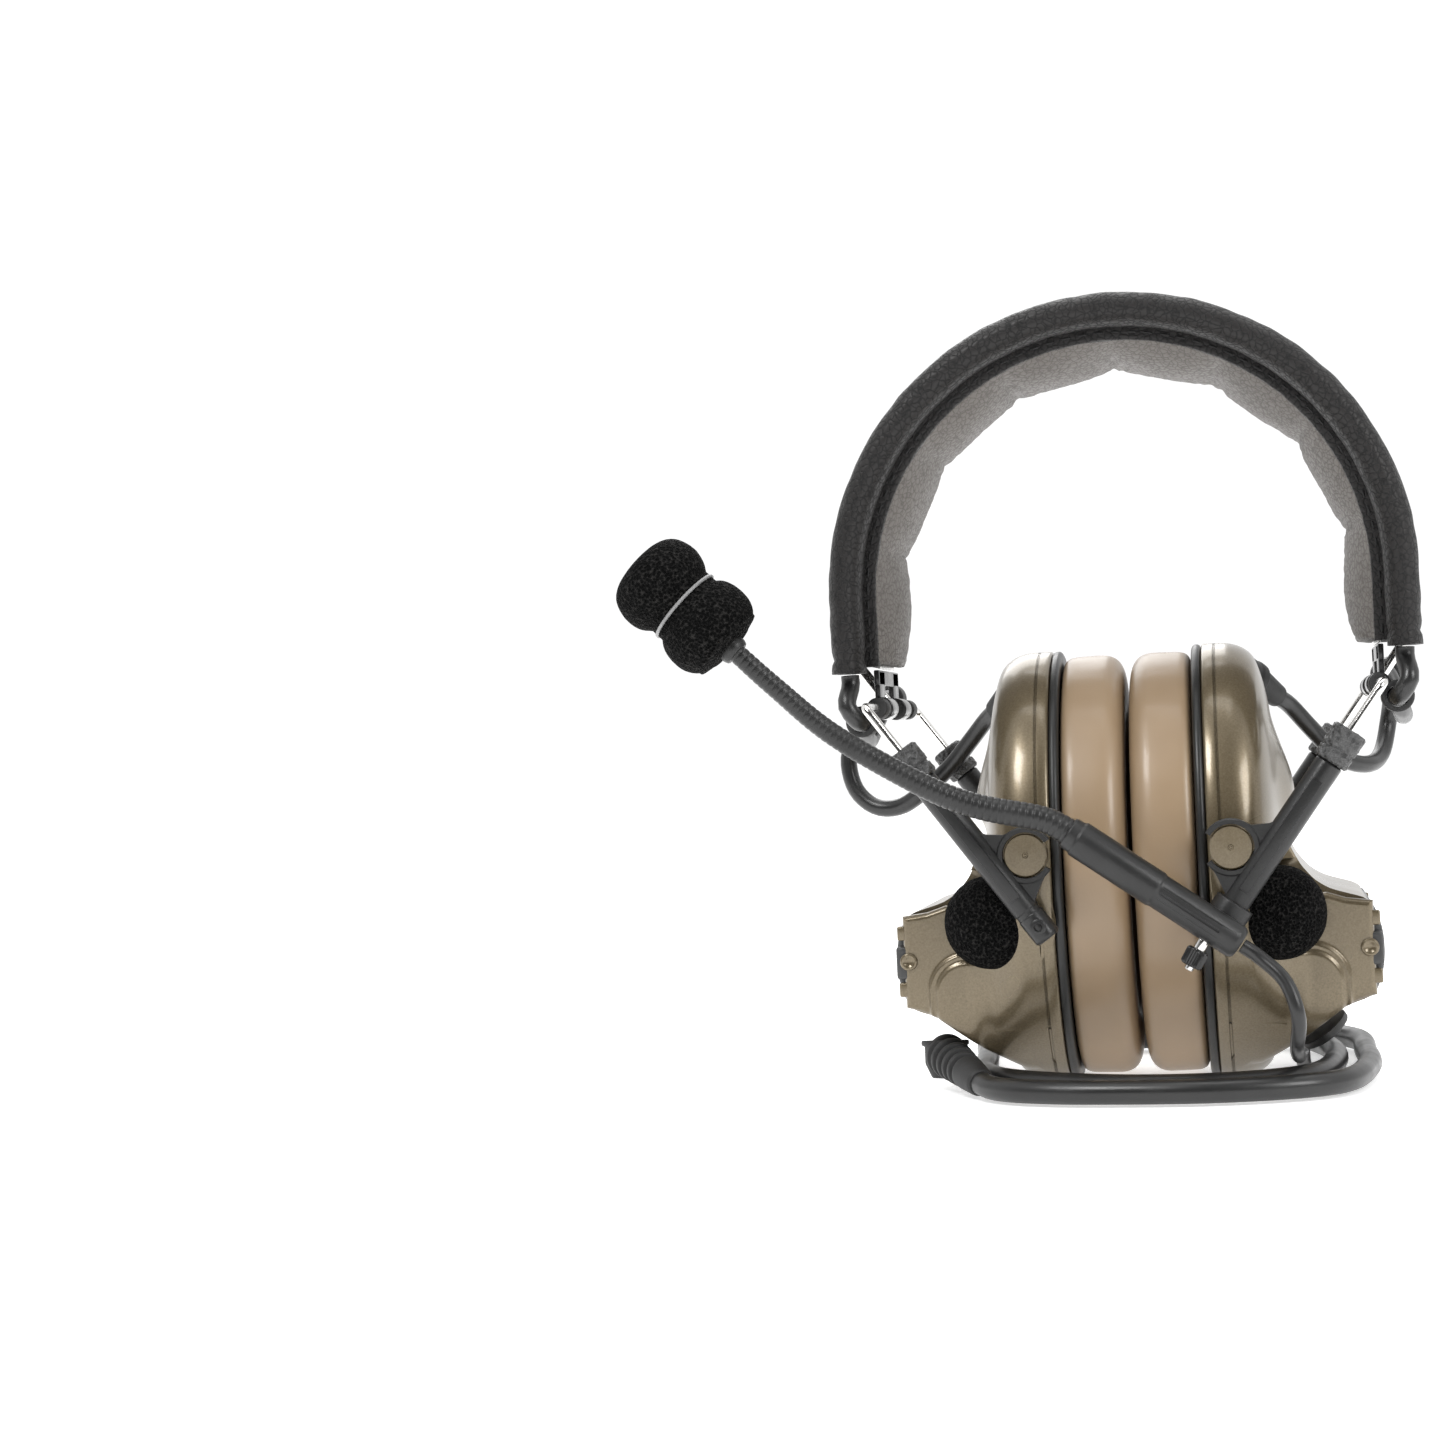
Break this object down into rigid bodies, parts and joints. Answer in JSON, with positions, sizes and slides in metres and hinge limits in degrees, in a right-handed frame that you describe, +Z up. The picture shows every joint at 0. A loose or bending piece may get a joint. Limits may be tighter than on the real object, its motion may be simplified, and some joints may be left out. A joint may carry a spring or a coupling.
{
  "type": "tactical radio headset",
  "caption": "Over-ear radio headset with hinged ear cups on wire yokes, leather headband, boom microphone, push buttons and trailing lead.",
  "frame": {"origin": "on the floor, at the centre of the footprint of the headset without its loose cords", "axes": "+Z up, +X towards the wearer's left cup, -Y towards the front (boom microphone side)"},
  "size_m": [0.163, 0.1349, 0.1688],
  "materials": {
    "shell_olive": "satin metallic paint",
    "cushion_tan": "soft satin skin",
    "black_plastic": "satin",
    "door_grey": "satin",
    "open_cell_foam": "matt open foam",
    "cell_wrap": "gloss",
    "circuit_board": "satin",
    "spring_steel": "polished",
    "black_rubber": "matt",
    "leather": "pebbled",
    "lining": "creased"
  },
  "bodies": {
    "headband": {"headband_sleeve": "leather", "headband_foam": "lining", "headband_spring": "spring_steel", "headband_cable": "black_rubber", "left_yoke_bearing": "black_plastic", "right_yoke_bearing": "black_plastic"},
    "left_yoke": {"left_yoke_wire": "spring_steel", "left_front_clip": "black_plastic", "left_rear_clip": "black_plastic", "left_jumper_cable": "black_rubber"},
    "left_arms": {"left_front_arm": "black_plastic", "left_rear_arm": "black_plastic"},
    "left_cup": {"left_cup_shell": "shell_olive", "left_base_plate": "black_plastic", "left_ear_cushion": "cushion_tan", "left_speaker": "black_plastic", "left_circuit_board": "circuit_board", "left_foam_liner": "open_cell_foam", "left_upper_cell": "cell_wrap", "left_lower_cell": "cell_wrap", "left_front_stud": "shell_olive", "left_rear_stud": "shell_olive", "left_windscreen": "open_cell_foam", "left_talk_through_mic": "black_plastic", "left_jumper_boot": "black_rubber", "left_button_pad": "black_rubber", "left_mic_socket": "black_plastic", "mic_plug": "black_rubber", "mic_cable": "black_rubber"},
    "left_door": {"left_battery_door": "door_grey"},
    "right_yoke": {"right_yoke_wire": "spring_steel", "right_front_clip": "black_plastic", "right_rear_clip": "black_plastic", "right_jumper_cable": "black_rubber"},
    "right_arms": {"right_front_arm": "black_plastic", "right_rear_arm": "black_plastic"},
    "right_cup": {"right_cup_shell": "shell_olive", "right_base_plate": "black_plastic", "right_ear_cushion": "cushion_tan", "right_speaker": "black_plastic", "right_circuit_board": "circuit_board", "right_foam_liner": "open_cell_foam", "right_upper_cell": "cell_wrap", "right_lower_cell": "cell_wrap", "right_front_stud": "shell_olive", "right_rear_stud": "shell_olive", "right_windscreen": "open_cell_foam", "right_talk_through_mic": "black_plastic", "right_jumper_boot": "black_rubber", "right_cable_gland": "black_rubber", "downlead_cable": "black_rubber", "downlead_plug": "black_plastic"},
    "right_door": {"right_battery_door": "door_grey"},
    "left_plus": {"left_button_plus": "black_rubber"},
    "left_minus": {"left_button_minus": "black_rubber"},
    "boom": {"boom_holder": "black_plastic", "gooseneck": "black_rubber"},
    "boom_screw": {"boom_thumb_screw": "spring_steel"},
    "boom_mic": {"boom_mic_capsule": "black_plastic", "boom_windscreen": "open_cell_foam"}
  },
  "joints": [
    {"name": "left_yoke_swing", "type": "hinge", "parent": "headband", "child": "left_yoke", "pos_m": [0.07279, 0.01157, 0.08331], "axis": [0, -1, 0], "range_deg": [0, 7], "deforming": ["left_jumper_cable", "left_ear_cushion"]},
    {"name": "left_arm_slide", "type": "slide", "parent": "left_yoke", "child": "left_arms", "axis": [-0.5878, 0, -0.809], "range_m": [-0.004, 0.008]},
    {"name": "left_cup_tilt", "type": "hinge", "parent": "left_arms", "child": "left_cup", "pos_m": [0.04064, 0.01157, 0.051], "axis": [0, 1, 0], "range_deg": [-8, 8]},
    {"name": "left_door_slide", "type": "slide", "parent": "left_cup", "child": "left_door", "axis": [1, 0, 0], "range_m": [0, 0.012]},
    {"name": "right_yoke_swing", "type": "hinge", "parent": "headband", "child": "right_yoke", "pos_m": [-0.03351, 0.01157, 0.08331], "axis": [0, 1, 0], "range_deg": [0, 7], "deforming": ["right_jumper_cable", "right_ear_cushion", "downlead_cable"]},
    {"name": "right_arm_slide", "type": "slide", "parent": "right_yoke", "child": "right_arms", "axis": [0.5878, 0, -0.809], "range_m": [-0.004, 0.008]},
    {"name": "right_cup_tilt", "type": "hinge", "parent": "right_arms", "child": "right_cup", "pos_m": [-0.00136, 0.01157, 0.051], "axis": [0, -1, 0], "range_deg": [-8, 8]},
    {"name": "right_door_slide", "type": "slide", "parent": "right_cup", "child": "right_door", "axis": [-1, 0, 0], "range_m": [0, 0.012]},
    {"name": "boom_swivel", "type": "hinge", "parent": "left_arms", "child": "boom", "pos_m": [0.03811, -0.03164, 0.03557], "axis": [0.5878, 0, 0.809], "range_deg": [0, 70], "deforming": ["mic_cable"]},
    {"name": "gooseneck_bend", "type": "hinge", "parent": "boom", "child": "boom_mic", "pos_m": [-0.01036, -0.04194, 0.062], "axis": [0, 1, 0], "range_deg": [-20, 20], "deforming": ["gooseneck"]},
    {"name": "thumb_screw_turn", "type": "hinge", "parent": "boom", "child": "boom_screw", "pos_m": [0.03394, -0.03893, 0.0319], "axis": [-0.4983, 0, -0.867], "range_deg": [-180, 180]},
    {"name": "plus_button_press", "type": "slide", "parent": "left_cup", "child": "left_plus", "axis": [-0.5739, 0, 0.8189], "range_m": [0, 0.0008], "stiffness_N_per_m": 800},
    {"name": "minus_button_press", "type": "slide", "parent": "left_cup", "child": "left_minus", "axis": [-0.5739, 0, 0.8189], "range_m": [0, 0.0008], "stiffness_N_per_m": 800}
  ]
}
